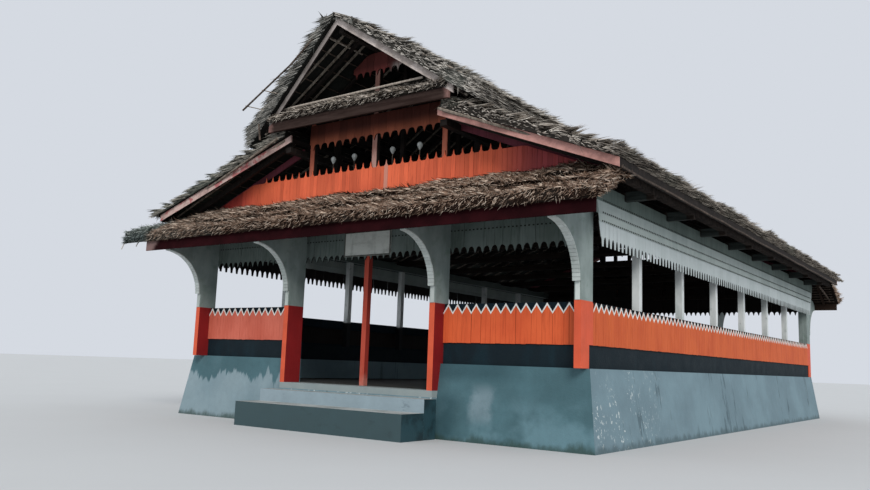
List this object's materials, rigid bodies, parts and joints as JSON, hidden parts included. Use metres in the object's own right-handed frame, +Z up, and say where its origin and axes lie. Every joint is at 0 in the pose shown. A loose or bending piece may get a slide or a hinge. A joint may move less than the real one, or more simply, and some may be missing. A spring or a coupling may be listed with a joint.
{
  "type": "baileo meeting house",
  "caption": "Open-sided timber meeting hall on a battered masonry plinth, with board rails, toothed valances and a two-tier palm-thatched gable roof.",
  "frame": {"origin": "on the ground, at the centre of the hall's plan", "axes": "+Z up, the entrance gable faces -Y, the long sides face -X and +X"},
  "size_m": [10.25, 16.8, 6.8803],
  "materials": {
    "plinth": "blue-grey limewashed masonry, stained and peeling",
    "concrete": "worn wet cement render",
    "orange_boards": "upright boards in faded red-orange paint",
    "pale_paint": "boards and posts in weathered grey-white paint",
    "red_post": "square post in red paint",
    "sign_face": "bare pale board",
    "old_timber": "dark smoke-brown timber",
    "faded_barge": "boards in faded pink-red paint",
    "weathered_barge": "grey weathered boards",
    "dark_red": "boards in dark red paint",
    "thatch": "layered brown-grey palm-leaf thatch"
  },
  "bodies": {
    "root": {"plinth_core": "plinth", "floor_slab": "concrete", "plinth_wall_right": "plinth", "plinth_wall_left": "plinth", "plinth_wall_back": "plinth", "plinth_wall_front_left": "plinth", "plinth_wall_front_right": "plinth", "step_low": "concrete", "step_high": "concrete", "rail_right": "orange_boards", "rail_left": "orange_boards", "rail_front_left": "orange_boards", "rail_front_right": "orange_boards", "rail_back": "orange_boards", "fin_front_left": "pale_paint", "fin_entrance_left": "pale_paint", "fin_entrance_right": "pale_paint", "fin_front_right": "pale_paint", "fin_back_left": "pale_paint", "fin_back_mid_left": "pale_paint", "fin_back_mid_right": "pale_paint", "fin_back_right": "pale_paint", "colonnade_right": "pale_paint", "colonnade_left": "pale_paint", "valance_right": "pale_paint", "valance_left": "pale_paint", "valance_front": "pale_paint", "valance_back": "pale_paint", "entrance_post": "red_post", "signboard": "sign_face", "head_beam_front": "old_timber", "head_beam_back": "old_timber", "gable_front": "orange_boards", "gable_back": "orange_boards", "tie_frame": "old_timber", "purlin_frame_right": "old_timber", "purlin_frame_left": "old_timber", "ridge_frame": "old_timber", "rafters_right": "old_timber", "rafters_left": "old_timber", "barge_front_right": "faded_barge", "barge_front_left": "faded_barge", "barge_back_right": "faded_barge", "barge_back_left": "faded_barge", "thatch_right": "thatch", "thatch_left": "thatch", "upper_rafters_right": "old_timber", "upper_rafters_left": "old_timber", "upper_barge_front": "weathered_barge", "upper_barge_back": "weathered_barge", "upper_thatch": "thatch", "upper_beam_front": "old_timber", "upper_beam_back": "old_timber", "upper_pent_front": "thatch", "upper_pent_back": "thatch", "pent_frame_front": "dark_red", "pent_frame_back": "dark_red", "pent_thatch_front": "thatch", "pent_thatch_back": "thatch"}
  },
  "joints": []
}
